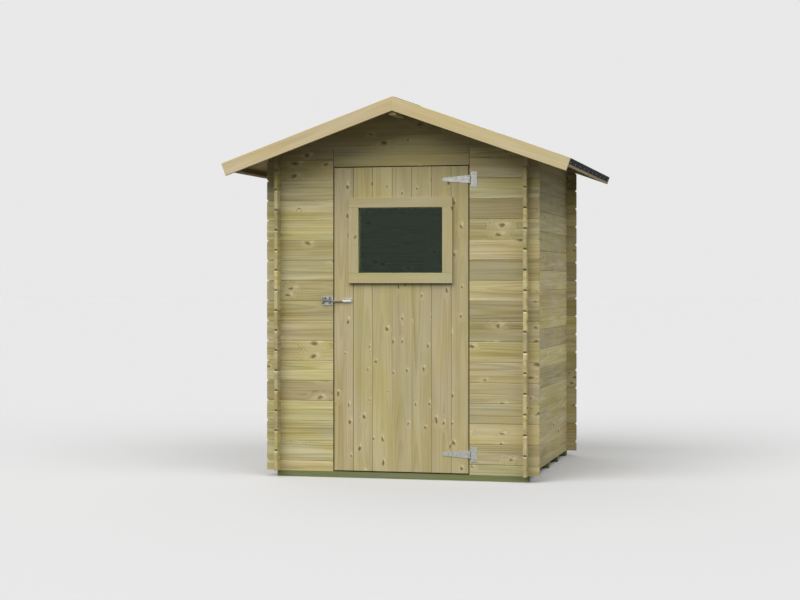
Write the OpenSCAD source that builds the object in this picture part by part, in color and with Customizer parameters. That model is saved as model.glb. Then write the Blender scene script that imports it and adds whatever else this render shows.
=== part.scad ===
// Small garden shed of interlocking tongue-and-groove pine logs.
// Millimetres, +Z up, the door faces -Y, the ground is at Z = 0.
// X and Y are zero in the middle of the whole shed seen from above.

/* [Log walls] */
// Height that one wall log covers
log_cover = 114; // [108:1:120]
// Thickness of a wall log
log_thick = 19; // [17:0.5:22]
// Number of log heights in a wall
log_courses = 16; // [14:1:18]
// Width over the outer faces of the side walls
wall_width = 1450; // [1400:10:1500]
// Depth over the outer faces of the front and back walls
wall_depth = 1540; // [1400:10:1700]
// Length of the log ends past a corner
corner_reach = 62; // [50:1:70]
// Height of the tongue along a log
tongue_high = 8; // [6:0.5:10]
// Thickness of the tongue along a log
tongue_thick = 6; // [5:0.5:7]
// Bevel along the long edges of a log
seam_bevel = 2.5; // [1:0.5:3.5]
// Radius on the corners of a free log end
end_round = 12; // [6:1:16]

/* [Foundation and floor] */
// Height of a bearer
bearer_high = 34; // [28:1:45]
// Width of a bearer
bearer_wide = 58; // [45:1:70]
// Thickness of the floor boards
floor_thick = 16; // [14:1:20]

/* [Roof] */
// Slope of the roof in degrees
roof_pitch = 19.7; // [17:0.1:22]
// Half width of the roof at the upper corner of a barge board
roof_half = 989; // [940:1:1020]
// Reach of the roof in front of the front wall
front_overhang = 215; // [150:1:240]
// Reach of the roof behind the back wall
back_overhang = 85; // [84:1:120]
// Thickness of the roof boards
deck_thick = 16; // [14:1:19]
// Thickness of the roofing felt
felt_thick = 3; // [2:0.5:4]
// Depth of the felt folded over the eaves
felt_fold = 32; // [20:1:40]
// Size of the square batten under the eaves
eaves_batten = 28; // [22:1:34]
// Depth of a front barge board across the slope
barge_deep = 74; // [60:1:90]
// Depth of a back barge board across the slope, down to the underside of the eaves battens
back_barge_deep = 47; // [40:1:74]
// Thickness of a barge board
barge_thick = 18; // [15:1:20]
// Width of the ridge purlin
purlin_wide = 42; // [34:1:48]
// Height of the ridge purlin
purlin_high = 80; // [60:1:95]

/* [Doorway] */
// Width of the doorway between the log ends
doorway_wide = 788; // [760:1:800]
// Depth of the panel over the door below the top of the logs
door_head_drop = 96; // [84:1:110]
// Size of the square posts and rail inside the doorway
post_size = 45; // [38:1:50]
// Joint between the log ends and the panel over the door
head_joint = 3; // [1:0.5:5]

/* [Door] */
// Gap between the door and the doorway on each side
door_gap = 6; // [5:0.5:8]
// Gap over the door
door_top_gap = 6; // [5:0.5:8]
// Gap under the door
door_foot_gap = 7; // [6:0.5:10]
// Width that one door board covers
board_cover = 113; // [111:0.5:115]
// Thickness of a door board
board_thick = 19; // [17:0.5:22]
// Width of a ledge across the inside of the door
ledge_wide = 95; // [80:1:105]
// Thickness of a ledge and of the brace
ledge_thick = 19; // [15:1:22]
// Distance from the door edge to the end of a ledge
ledge_inset = 18; // [15:1:30]
// Distance from the window casing down to the middle ledge
middle_ledge_drop = 35; // [20:1:60]
// Width of the brace
brace_wide = 85; // [70:1:95]

/* [Window] */
// Width over the window casing
casing_wide = 598; // [560:1:620]
// Height over the window casing
casing_high = 483; // [440:1:500]
// Width of one casing batten
casing_batten = 57; // [45:1:62]
// Thickness of the casing
casing_thick = 18; // [14:1:20]
// Distance from the top of the door down to the casing
window_drop = 171.5; // [150:0.5:200]
// Part of the pane's edge that the casing covers
pane_lap = 8; // [6:1:12]
// Thickness of the clear pane
pane_thick = 3; // [2:0.5:4]
// Width of the beads behind the pane
bead_wide = 12; // [10:1:18]

/* [Hinges] */
// Distance from the top of the door down to the upper hinge's centre
upper_hinge_drop = 74; // [60:1:90]
// Distance from the foot of the door up to the lower hinge's centre
lower_hinge_rise = 106; // [80:1:130]
// Length of the strap from the pin to its tip
strap_long = 157; // [120:1:200]
// Height of the strap at the knuckle
strap_root = 44; // [40:1:50]
// Height of the strap at its tip
strap_tip = 20; // [16:1:26]
// Height of the wall plate
plate_high = 84; // [76:1:92]
// Width of the wall plate from the pin
plate_wide = 41; // [36:1:43]
// Thickness of the hinge steel
hinge_steel = 2; // [1.5:0.25:3]
// Outer diameter of a knuckle
knuckle_d = 10; // [9:0.5:11]
// Diameter of the hinge pin
hinge_pin_d = 5; // [4:0.5:6]
// Height of each knuckle on the wall plate
outer_knuckle = 11; // [9:0.5:13]

/* [Latch] */
// Distance from the middle ledge's centre down to the striker rod
rod_drop = 19; // [5:1:30]
// Diameter of the striker rod
rod_d = 8; // [7:0.5:9]
// Length of the striker plate
striker_long = 54; // [45:1:60]
// Height of the striker plate
striker_high = 26; // [22:1:32]
// Thickness of the striker plate
striker_steel = 3.5; // [3:0.25:4.5]
// Distance from the door edge to the striker plate
striker_inset = 53; // [45:1:60]
// Width of the catch on the wall
catch_wide = 62; // [54:1:70]
// Height of the catch on the wall
catch_high = 53; // [48:1:60]
// Thickness of the latch steel
latch_steel = 2; // [1.5:0.25:3]
// Distance of the cheeks' front edge from the wall
cheek_reach = 36; // [34:1:40]
// Distance of the pawl's rivet from the wall
rivet_reach = 26; // [25:0.5:27]
// Height of the pawl's rivet over the rod
rivet_rise = 17; // [16:0.5:18]
// Diameter of the pawl's rivet
rivet_d = 5; // [4:0.5:6]
// Length of the pawl's nose from the rivet
nose_long = 18; // [15:0.5:18.5]
// Length of the pawl's thumb tab from the rivet
tab_long = 24; // [18:1:30]
// Thickness of the pawl
pawl_thick = 6; // [4:0.5:8]

/* [Clearances] */
// Gap between two logs or boards of one wall, floor or door
seam_gap = 0.3; // [0.2:0.05:0.5]
// Gap at each face of a notch where two logs cross
notch_gap = 0.3; // [0.2:0.05:0.5]
// Gap between a piece and the piece that carries it
seat_gap = 0.2; // [0.1:0.05:0.3]
// Gap around a tongue in its groove
tongue_gap = 0.5; // [0.3:0.1:0.8]
// Gap around a pin or rivet in its bore
bore_gap = 0.25; // [0.2:0.05:0.4]
// Gap between two knuckles of a hinge
knuckle_gap = 0.5; // [0.3:0.1:0.8]
// Gap around the striker rod in the catch
rod_gap = 2; // [1.5:0.5:2.5]

/* [Hidden] */
$fn = 48;
half_log = log_cover / 2;
quarter_log = log_cover / 4;
wall_high = log_courses * log_cover;
wall_z = bearer_high;
half_wall = wall_width / 2;
overall_deep = front_overhang + wall_depth + back_overhang;
front_y = front_overhang - overall_deep / 2;
back_y = front_y + wall_depth;
roof_front_y = front_y - front_overhang;
roof_back_y = back_y + back_overhang;
deck_front_y = roof_front_y + barge_thick + seat_gap;
deck_back_y = roof_back_y - barge_thick - seat_gap;
roof_tan = tan(roof_pitch);
ridge_z = wall_z + wall_high + (half_wall - log_thick) * roof_tan + seat_gap;
roof_skin = deck_thick + felt_thick + seat_gap;
slope_long = (roof_half - roof_skin * sin(roof_pitch)) / cos(roof_pitch);
deck_long = slope_long - felt_thick - seat_gap;
purlin_foot_z = ridge_z - purlin_high;
floor_top_z = wall_z + seat_gap + floor_thick;
half_doorway = doorway_wide / 2;
doorway_top_z = wall_z + wall_high - door_head_drop;
half_door = half_doorway - door_gap;
door_foot_z = wall_z + door_foot_gap;
door_top_z = doorway_top_z - door_top_gap;
door_back_y = front_y + board_thick;
upper_hinge_z = door_top_z - upper_hinge_drop;
lower_hinge_z = door_foot_z + lower_hinge_rise;
window_z = door_top_z - window_drop - casing_high / 2;
middle_ledge_z = window_z - casing_high / 2 - middle_ledge_drop - ledge_wide / 2;
rod_z = middle_ledge_z - rod_drop;
board_count = ceil(2 * half_door / board_cover);
half_ledge = half_door - ledge_inset;
post_y = front_y + log_thick + seat_gap;
pane_wide = casing_wide - 2 * casing_batten + 2 * pane_lap;
pane_high = casing_high - 2 * casing_batten + 2 * pane_lap;
pane_y = front_y + seat_gap;
bead_y = pane_y + pane_thick + seat_gap;
hinge_x = half_doorway + 2;
hinge_y = front_y - seat_gap - knuckle_d / 2;
rod_y = front_y - 2 * seat_gap - striker_steel - rod_d / 2;
rivet_y = front_y - rivet_reach;
rivet_z = rod_z + rivet_rise;
catch_right_x = -half_doorway;
catch_left_x = catch_right_x - catch_wide;
catch_z = rod_z + 4;
cheek_left_x = catch_left_x + 6;
cheek_right_x = catch_right_x - 18;
pawl_x = (cheek_left_x + cheek_right_x) / 2;
cut_spill = 50;

// Height of the roof boards' underside at a distance from the ridge line
function roof_under(x) = ridge_z - abs(x) * roof_tan;

// Point on the right roof slope: down the slope, and up from the boards' underside
function slope_point(along, up) = [
    along * cos(roof_pitch) + up * sin(roof_pitch),
    ridge_z - along * sin(roof_pitch) + up * cos(roof_pitch)
];

// Point over the ridge line, up from the boards' underside
function ridge_point(up) = [seat_gap / 2, ridge_z + up / cos(roof_pitch)];

// Cross-section of a log: thickness from the outer face, then height
function log_section(high, groove, tongue) = concat(
    groove ? [[seam_bevel, 0]] : [[0, 0]],
    groove ? [
        [log_thick / 2 - tongue_thick / 2 - tongue_gap, 0],
        [log_thick / 2 - tongue_thick / 2 - tongue_gap, tongue_high + tongue_gap],
        [log_thick / 2 + tongue_thick / 2 + tongue_gap, tongue_high + tongue_gap],
        [log_thick / 2 + tongue_thick / 2 + tongue_gap, 0],
        [log_thick - seam_bevel, 0],
        [log_thick, seam_bevel]
    ] : [[log_thick, 0]],
    tongue ? [
        [log_thick, high - seam_bevel],
        [log_thick - seam_bevel, high],
        [log_thick / 2 + tongue_thick / 2, high],
        [log_thick / 2 + tongue_thick / 2, high + tongue_high - seam_gap],
        [log_thick / 2 - tongue_thick / 2, high + tongue_high - seam_gap],
        [log_thick / 2 - tongue_thick / 2, high],
        [seam_bevel, high],
        [0, high - seam_bevel]
    ] : [[log_thick, high], [0, high]],
    groove ? [[0, seam_bevel]] : []
);

// Lower outline of a notch for a crossing log
function notch_below(at, deep) = [
    [at - log_thick / 2 - notch_gap, -1],
    [at - log_thick / 2 - notch_gap, deep],
    [at + log_thick / 2 + notch_gap, deep],
    [at + log_thick / 2 + notch_gap, -1]
];

// Upper outline of a notch for a crossing log
function notch_above(at, deep) = [
    [at + log_thick / 2 + notch_gap, log_cover + tongue_high],
    [at + log_thick / 2 + notch_gap, deep],
    [at - log_thick / 2 - notch_gap, deep],
    [at - log_thick / 2 - notch_gap, log_cover + tongue_high]
];

function turned(points) = [for (i = [len(points) - 1 : -1 : 0]) points[i]];

// Face of a log with square ends, the notches under it and the notches over it
function log_face(from, to, below, above, low_deep, top_deep) = concat(
    [[from, -1]],
    [for (at = below) each notch_below(at, low_deep)],
    [[to, -1], [to, log_cover + tongue_high]],
    [for (at = above) each notch_above(at, top_deep)],
    [[from, log_cover + tongue_high]]
);

// Waste at a rounded corner of a log end
module corner_waste(at, inward, edge, upward) {
    spill = tongue_high + 1;
    middle = [at + inward * end_round, edge + upward * end_round];
    difference() {
        translate([
            inward > 0 ? middle[0] - end_round - spill : middle[0],
            upward > 0 ? middle[1] - end_round - spill : middle[1]
        ])
            square(end_round + spill);
        translate(middle)
            circle(r = end_round);
    }
}

// Face of a log whose free ends are rounded at the edges with a groove or a tongue
module log_outline(from, to, high, groove, tongue, below, above, low_deep, top_deep, free_ends) {
    difference() {
        polygon(log_face(from, to, below, above, low_deep, top_deep));
        for (end = free_ends) {
            if (groove)
                corner_waste(end[0], end[1], 0, 1);
            if (tongue)
                corner_waste(end[0], end[1], high, -1);
        }
    }
}

module along_x(from, to) {
    translate([from, 0, 0])
        rotate([90, 0, 90])
            linear_extrude(height = to - from)
                children();
}

module along_y(from, to) {
    translate([0, to, 0])
        rotate([90, 0, 0])
            linear_extrude(height = to - from)
                children();
}

// One log that runs along X with its outer face at Y = 0
module log_x(from, to, high, groove, tongue, below, above, low_deep, top_deep, free_ends) {
    intersection() {
        along_x(from, to)
            polygon(log_section(high, groove, tongue));
        along_y(-1, log_thick + 1)
            log_outline(from, to, high, groove, tongue, below, above, low_deep, top_deep, free_ends);
    }
}

// Courses of a front or back wall: half a log, whole logs, half a log
module wall_x(from, to, crossings, free_ends) {
    turned_crossings = turned(crossings);
    log_x(from, to, half_log - seam_gap, false, true, [], turned_crossings,
        0, quarter_log - notch_gap / 2, free_ends);
    for (i = [1 : log_courses - 1])
        translate([0, 0, i * log_cover - half_log])
            log_x(from, to, log_cover - seam_gap, true, true, crossings, turned_crossings,
                quarter_log + notch_gap / 2, 3 * quarter_log - notch_gap / 2, free_ends);
    difference() {
        translate([0, 0, wall_high - half_log])
            log_x(from, to, half_log - seam_gap, true, false, crossings, [],
                quarter_log + notch_gap / 2, 0, free_ends);
        for (side = [-1, 1])
            under_roof(side);
    }
}

// Space over one roof slope, measured from the wall's foot
module under_roof(side) {
    reach = half_wall + corner_reach + 10;
    inner = half_wall - log_thick - 5;
    along_y(-2, log_thick + 2)
        polygon([
            [side * inner, roof_under(inner) - wall_z - seat_gap],
            [side * reach, roof_under(reach) - wall_z - seat_gap],
            [side * reach, wall_high + cut_spill],
            [side * inner, wall_high + cut_spill]
        ]);
}

// One side log along Y with its outer face at X = 0
module log_y(z, high, groove, tongue, low_deep, top_deep) {
    from = front_y - corner_reach;
    to = back_y + corner_reach;
    crossings = [front_y + log_thick / 2, back_y - log_thick / 2];
    free_ends = [[from, 1], [to, -1]];
    translate([0, 0, z])
        intersection() {
            along_y(from, to)
                polygon(log_section(high, groove, tongue));
            along_x(-1, log_thick + 1)
                log_outline(from, to, high, groove, tongue, crossings, turned(crossings),
                    low_deep, top_deep, free_ends);
        }
}

// Left wall: whole logs only, the top one bevelled to the roof slope
module side_wall() {
    translate([-half_wall, 0, wall_z]) {
        for (i = [0 : log_courses - 2])
            log_y(i * log_cover, log_cover - seam_gap, i > 0, true,
                quarter_log + notch_gap / 2, 3 * quarter_log - notch_gap / 2);
        difference() {
            log_y((log_courses - 1) * log_cover, log_cover, true, false,
                quarter_log + notch_gap / 2, 3 * quarter_log - notch_gap / 2);
            along_y(front_y - corner_reach - 1, back_y + corner_reach + 1)
                polygon([
                    [-1, roof_under(half_wall + 1) - wall_z - seat_gap],
                    [log_thick + 1, roof_under(half_wall - log_thick - 1) - wall_z - seat_gap],
                    [log_thick + 1, wall_high + cut_spill],
                    [-1, wall_high + cut_spill]
                ]);
        }
    }
}

// Front wall beside the doorway, left part
module front_part() {
    from = -half_wall - corner_reach;
    translate([0, front_y, wall_z])
        wall_x(from, -half_doorway, [-half_wall + log_thick / 2], [[from, 1]]);
}

// Outline of a gable over the logs, slotted for the ridge purlin
module gable_outline(foot) {
    slot = purlin_wide / 2 + seat_gap;
    corner = half_wall - log_thick;
    polygon(concat(
        [[-corner, wall_z + wall_high + seat_gap]],
        foot,
        [
            [corner, wall_z + wall_high + seat_gap],
            [slot, roof_under(slot) - seat_gap],
            [slot, purlin_foot_z - seat_gap],
            [-slot, purlin_foot_z - seat_gap],
            [-slot, roof_under(slot) - seat_gap]
        ]
    ));
}

module bearer(step) {
    span = wall_depth - bearer_wide;
    translate([-half_wall, front_y + step * span / 4, 0])
        cube([wall_width, bearer_wide, bearer_high - seat_gap]);
}

module door_post() {
    translate([half_doorway, post_y, floor_top_z + seat_gap])
        cube([post_size, post_size, wall_z + wall_high - floor_top_z - seat_gap]);
}

module deck_slope() {
    along_y(deck_front_y, deck_back_y)
        polygon([
            ridge_point(0), slope_point(deck_long, 0),
            slope_point(deck_long, deck_thick), ridge_point(deck_thick)
        ]);
}

module felt_slope() {
    low = deck_thick + seat_gap;
    fold = roof_skin - felt_fold;
    inner = slope_long - felt_thick;
    along_y(deck_front_y, deck_back_y)
        polygon([
            ridge_point(low), slope_point(inner, low), slope_point(inner, fold),
            slope_point(slope_long, fold), slope_point(slope_long, roof_skin), ridge_point(roof_skin)
        ]);
}

module batten_slope() {
    inner = deck_long - eaves_batten;
    along_y(deck_front_y, deck_back_y)
        polygon([
            slope_point(inner, -seat_gap - eaves_batten), slope_point(deck_long, -seat_gap - eaves_batten),
            slope_point(deck_long, -seat_gap), slope_point(inner, -seat_gap)
        ]);
}

module barge_slope(from, deep) {
    low = roof_skin - deep;
    along_y(from, from + barge_thick)
        polygon([
            ridge_point(low), slope_point(slope_long, low),
            slope_point(slope_long, roof_skin), ridge_point(roof_skin)
        ]);
}

// Wall half of a T-hinge: plate, two knuckles and the riveted pin
module hinge_plate(z) {
    root = knuckle_d / 2 + knuckle_gap;
    translate([hinge_x, hinge_y, z]) {
        for (end = [-1, 1])
            translate([0, 0, end * (strap_root - outer_knuckle) / 2]) {
                cylinder(d = knuckle_d, h = outer_knuckle, center = true);
                translate([0, knuckle_d / 2 - hinge_steel, -outer_knuckle / 2])
                    cube([root + 1, hinge_steel, outer_knuckle]);
            }
        cylinder(d = hinge_pin_d, h = strap_root - 1, center = true);
        translate([root, knuckle_d / 2 - hinge_steel, -plate_high / 2])
            cube([plate_wide - root, hinge_steel, plate_high]);
    }
}

// Door half of a T-hinge: tapered strap and the middle knuckle
module hinge_strap(z) {
    root = knuckle_d / 2 + knuckle_gap;
    middle = strap_root - 2 * outer_knuckle - 2 * knuckle_gap;
    nose = strap_long - strap_tip / 2;
    translate([hinge_x, hinge_y, z])
        difference() {
            union() {
                cylinder(d = knuckle_d, h = middle, center = true);
                translate([-root - 1, knuckle_d / 2 - hinge_steel, -middle / 2])
                    cube([root + 1, hinge_steel, middle]);
                translate([0, knuckle_d / 2, 0])
                    rotate([90, 0, 0])
                        linear_extrude(height = hinge_steel) {
                            polygon([
                                [-root, -strap_root / 2], [-root, strap_root / 2],
                                [-nose, strap_tip / 2], [-nose, -strap_tip / 2]
                            ]);
                            translate([-nose, 0])
                                circle(d = strap_tip);
                        }
            }
            cylinder(d = hinge_pin_d + 2 * bore_gap, h = strap_root, center = true);
        }
}

module ledge(z) {
    translate([-half_ledge, door_back_y + seat_gap, z - ledge_wide / 2])
        cube([2 * half_ledge, ledge_thick, ledge_wide]);
}

module bearer_front() { color("darkolivegreen") bearer(0); }
module bearer_second() { color("darkolivegreen") bearer(1); }
module bearer_middle() { color("darkolivegreen") bearer(2); }
module bearer_fourth() { color("darkolivegreen") bearer(3); }
module bearer_back() { color("darkolivegreen") bearer(4); }

module floor_boards() {
    half = half_wall - log_thick - seat_gap;
    color("burlywood")
        translate([-half, front_y + log_thick + door_gap, wall_z])
            cube([2 * half, wall_depth - 2 * log_thick - door_gap - seat_gap, floor_thick]);
}

module front_logs_left() { color("darkkhaki") front_part(); }
module front_logs_right() { color("darkkhaki") mirror([1, 0, 0]) front_part(); }
module left_logs() { color("darkkhaki") side_wall(); }
module right_logs() { color("darkkhaki") mirror([1, 0, 0]) side_wall(); }

module back_logs() {
    reach = half_wall + corner_reach;
    cross = half_wall - log_thick / 2;
    color("darkkhaki")
        translate([0, back_y, wall_z])
            mirror([0, 1, 0])
                wall_x(-reach, reach, [-cross, cross], [[-reach, 1], [reach, -1]]);
}

module front_gable() {
    tab = half_doorway - head_joint;
    sill = wall_z + wall_high + seat_gap;
    color("khaki")
        along_y(front_y, front_y + log_thick)
            gable_outline([[-tab, sill], [-tab, doorway_top_z], [tab, doorway_top_z], [tab, sill]]);
}

module back_gable() {
    color("khaki")
        along_y(back_y - log_thick, back_y)
            gable_outline([]);
}

module door_post_left() { color("burlywood") mirror([1, 0, 0]) door_post(); }
module door_post_right() { color("burlywood") door_post(); }

module door_head_rail() {
    half = half_doorway - seat_gap;
    color("burlywood")
        translate([-half, post_y, doorway_top_z])
            cube([2 * half, post_size, post_size]);
}

module ridge_purlin() {
    half = purlin_wide / 2;
    color("tan")
        along_y(deck_front_y, deck_back_y)
            polygon([
                [-half, purlin_foot_z], [half, purlin_foot_z],
                [half, roof_under(half) - seat_gap], [0, ridge_z - seat_gap],
                [-half, roof_under(half) - seat_gap]
            ]);
}

module eaves_batten_left() { color("tan") mirror([1, 0, 0]) batten_slope(); }
module eaves_batten_right() { color("tan") batten_slope(); }
module roof_deck_left() { color("wheat") mirror([1, 0, 0]) deck_slope(); }
module roof_deck_right() { color("wheat") deck_slope(); }
module roof_felt_left() { color("darkslategray") mirror([1, 0, 0]) felt_slope(); }
module roof_felt_right() { color("darkslategray") felt_slope(); }
module front_barge_left() { color("wheat") mirror([1, 0, 0]) barge_slope(roof_front_y, barge_deep); }
module front_barge_right() { color("wheat") barge_slope(roof_front_y, barge_deep); }
module back_barge_left() { color("wheat") mirror([1, 0, 0]) barge_slope(roof_back_y - barge_thick, back_barge_deep); }
module back_barge_right() { color("wheat") barge_slope(roof_back_y - barge_thick, back_barge_deep); }
module upper_hinge_plate() { color("silver") hinge_plate(upper_hinge_z); }
module lower_hinge_plate() { color("silver") hinge_plate(lower_hinge_z); }

// Folded steel catch: back plate, two slotted cheeks and the rivet between them
module latch_catch() {
    slot = rod_d + 2 * rod_gap;
    round = 6;
    back = front_y - seat_gap;
    color("silver") {
        translate([catch_left_x, back - latch_steel, catch_z - catch_high / 2])
            cube([catch_wide, latch_steel, catch_high]);
        for (x = [cheek_left_x, cheek_right_x])
            along_x(x - latch_steel / 2, x + latch_steel / 2)
                difference() {
                    union() {
                        translate([front_y - cheek_reach + round, catch_z - catch_high / 2 + round])
                            square([cheek_reach - round - seat_gap, catch_high - 2 * round]);
                        translate([front_y - cheek_reach, catch_z - catch_high / 2 + 2 * round])
                            square([cheek_reach - seat_gap, catch_high - 4 * round]);
                        for (end = [-1, 1])
                            translate([
                                front_y - cheek_reach + round,
                                catch_z + end * (catch_high / 2 - 2 * round)
                            ])
                                circle(r = round);
                    }
                    translate([front_y - cheek_reach - 1, rod_z - slot / 2])
                        square([cheek_reach + 1 - latch_steel - seat_gap, slot]);
                }
        translate([cheek_left_x, rivet_y, rivet_z])
            rotate([0, 90, 0])
                cylinder(d = rivet_d, h = cheek_right_x - cheek_left_x);
    }
}

module door_boards() {
    color("darkkhaki")
        difference() {
            for (i = [0 : board_count - 1])
                let (left = -half_door + i * board_cover)
                let (right = min(left + board_cover - seam_gap, half_door))
                    translate([left, front_y, door_foot_z])
                        cube([right - left, board_thick, door_top_z - door_foot_z]);
            translate([-pane_wide / 2 - seat_gap, front_y - 1, window_z - pane_high / 2 - seat_gap])
                cube([pane_wide + 2 * seat_gap, board_thick + 2, pane_high + 2 * seat_gap]);
        }
}

module door_ledge_top() { color("burlywood") ledge(upper_hinge_z); }
module door_ledge_middle() { color("burlywood") ledge(middle_ledge_z); }
module door_ledge_bottom() { color("burlywood") ledge(lower_hinge_z); }

// Brace from the foot on the hinge side up to the latch side
module door_brace() {
    foot = lower_hinge_z + ledge_wide / 2 + seat_gap;
    head = middle_ledge_z - ledge_wide / 2 - seat_gap;
    color("burlywood")
        along_y(door_back_y + seat_gap, door_back_y + seat_gap + ledge_thick)
            polygon([
                [half_ledge - brace_wide * 1.3, foot], [half_ledge, foot],
                [-half_ledge + brace_wide * 1.3, head], [-half_ledge, head]
            ]);
}

// Four casing battens round the window, the upright ones between the others
module window_casing() {
    color("wheat")
        translate([0, front_y - seat_gap - casing_thick, window_z])
            for (side = [-1, 1]) {
                translate([-casing_wide / 2, 0, side * (casing_high - casing_batten) / 2 - casing_batten / 2])
                    cube([casing_wide, casing_thick, casing_batten]);
                translate([
                    side * (casing_wide - casing_batten) / 2 - casing_batten / 2,
                    0,
                    -casing_high / 2 + casing_batten + seam_gap
                ])
                    cube([casing_batten, casing_thick, casing_high - 2 * casing_batten - 2 * seam_gap]);
            }
}

module window_pane() {
    color("lightblue", 0.5)
        translate([-pane_wide / 2, pane_y, window_z - pane_high / 2])
            cube([pane_wide, pane_thick, pane_high]);
}

// Four beads that hold the pane from the inside
module window_beads() {
    deep = door_back_y - bead_y;
    color("burlywood")
        translate([0, bead_y, window_z])
            for (side = [-1, 1]) {
                translate([-pane_wide / 2, 0, side * (pane_high - bead_wide) / 2 - bead_wide / 2])
                    cube([pane_wide, deep, bead_wide]);
                translate([
                    side * (pane_wide - bead_wide) / 2 - bead_wide / 2,
                    0,
                    -pane_high / 2 + bead_wide + seam_gap
                ])
                    cube([bead_wide, deep, pane_high - 2 * bead_wide - 2 * seam_gap]);
            }
}

module upper_hinge_strap() { color("silver") hinge_strap(upper_hinge_z); }
module lower_hinge_strap() { color("silver") hinge_strap(lower_hinge_z); }

module striker_plate() {
    color("silver")
        translate([-half_door + striker_inset, front_y - seat_gap - striker_steel, rod_z - 8])
            cube([striker_long, striker_steel, striker_high]);
}

module striker_rod() {
    from = cheek_left_x - 4;
    to = -half_door + striker_inset + striker_long - 8;
    color("silver")
        translate([from, rod_y, rod_z])
            rotate([0, 90, 0])
                cylinder(d = rod_d, h = to - from);
}

// Pawl turned up clear of the rod: nose towards the wall, thumb tab towards the front
module latch_pawl() {
    hub = 6;
    color("silver")
        along_x(pawl_x - pawl_thick / 2, pawl_x + pawl_thick / 2)
            translate([rivet_y, rivet_z])
                difference() {
                    union() {
                        circle(r = hub);
                        polygon([[0, -5], [nose_long, -3], [nose_long, 3], [0, 5]]);
                        polygon([[0, -5], [0, 5], [-tab_long, 3], [-tab_long, -3]]);
                    }
                    circle(d = rivet_d + 2 * bore_gap);
                }
}

bearer_front();
bearer_second();
bearer_middle();
bearer_fourth();
bearer_back();
floor_boards();
front_logs_left();
front_logs_right();
left_logs();
right_logs();
back_logs();
front_gable();
back_gable();
door_post_left();
door_post_right();
door_head_rail();
ridge_purlin();
eaves_batten_left();
eaves_batten_right();
roof_deck_left();
roof_deck_right();
roof_felt_left();
roof_felt_right();
front_barge_left();
front_barge_right();
back_barge_left();
back_barge_right();
upper_hinge_plate();
lower_hinge_plate();
latch_catch();
door_boards();
door_ledge_top();
door_ledge_middle();
door_ledge_bottom();
door_brace();
window_casing();
window_pane();
window_beads();
upper_hinge_strap();
lower_hinge_strap();
striker_plate();
striker_rod();
latch_pawl();
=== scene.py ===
import math
import random

import bmesh
import bpy
import numpy as np
from mathutils import Matrix, Vector, noise


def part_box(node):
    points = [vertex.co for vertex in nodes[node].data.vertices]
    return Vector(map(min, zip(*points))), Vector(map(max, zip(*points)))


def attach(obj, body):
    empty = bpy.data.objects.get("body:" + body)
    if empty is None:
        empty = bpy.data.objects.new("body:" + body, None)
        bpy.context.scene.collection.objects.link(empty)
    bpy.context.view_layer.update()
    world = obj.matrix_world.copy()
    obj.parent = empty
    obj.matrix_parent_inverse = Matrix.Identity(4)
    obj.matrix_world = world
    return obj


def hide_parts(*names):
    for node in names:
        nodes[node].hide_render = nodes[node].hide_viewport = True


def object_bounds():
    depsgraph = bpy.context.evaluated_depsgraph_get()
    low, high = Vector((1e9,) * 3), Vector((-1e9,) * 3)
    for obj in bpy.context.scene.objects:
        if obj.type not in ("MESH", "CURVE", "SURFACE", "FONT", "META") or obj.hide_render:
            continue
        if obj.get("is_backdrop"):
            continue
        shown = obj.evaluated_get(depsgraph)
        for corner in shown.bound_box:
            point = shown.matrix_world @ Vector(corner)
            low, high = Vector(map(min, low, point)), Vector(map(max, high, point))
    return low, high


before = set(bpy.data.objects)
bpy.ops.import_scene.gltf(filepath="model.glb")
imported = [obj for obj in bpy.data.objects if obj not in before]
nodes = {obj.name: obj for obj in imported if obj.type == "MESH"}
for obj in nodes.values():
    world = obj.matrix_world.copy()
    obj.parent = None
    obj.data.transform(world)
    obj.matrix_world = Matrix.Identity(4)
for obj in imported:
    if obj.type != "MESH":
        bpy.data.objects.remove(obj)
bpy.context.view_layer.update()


# Log walls: planed pine planks 19 mm thick, pressure-treated to a pale olive straw colour.
# Each log runs the length of its wall or up to the doorway, tongue in groove, and is locked
# by notches into the logs that cross it. The bevelled edges make fine seams.

def linear(code):
    """A colour from its sRGB hex code."""
    parts = [int(code[i:i + 2], 16) / 255 for i in (1, 3, 5)]
    return tuple(v / 12.92 if v <= 0.04045 else ((v + 0.055) / 1.055) ** 2.4 for v in parts) + (1.0,)


def add(tree, kind, inputs=None, **settings):
    """Adds a node, sets it up, links or fills its inputs, and returns its outputs."""
    node = tree.nodes.new(kind)
    for key, value in settings.items():
        setattr(node, key, value)
    for key, value in (inputs or {}).items():
        if isinstance(value, bpy.types.NodeSocket):
            tree.links.new(value, node.inputs[key])
        else:
            node.inputs[key].default_value = value
    return node.outputs


def blank(name):
    """A new material with nothing on it yet, and its node tree."""
    material = bpy.data.materials.new(name)
    material.use_nodes = True
    material.node_tree.nodes.clear()
    return material, material.node_tree


def paint(obj, material):
    """The whole object takes one material."""
    obj.data.materials.clear()
    obj.data.materials.append(material)


def separate_boards(mesh, points):
    """The number of the board that each point of a mesh belongs to."""
    same = np.unique(np.round(points, 5), axis=0, return_inverse=True)[1].ravel()
    parent = list(range(int(same.max()) + 1))

    def find(i):
        while parent[i] != i:
            parent[i] = parent[parent[i]]
            i = parent[i]
        return i

    for face in mesh.polygons:
        first = find(same[face.vertices[0]])
        for v in face.vertices[1:]:
            parent[find(same[v])] = first
    return np.array([find(i) for i in same])


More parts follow.
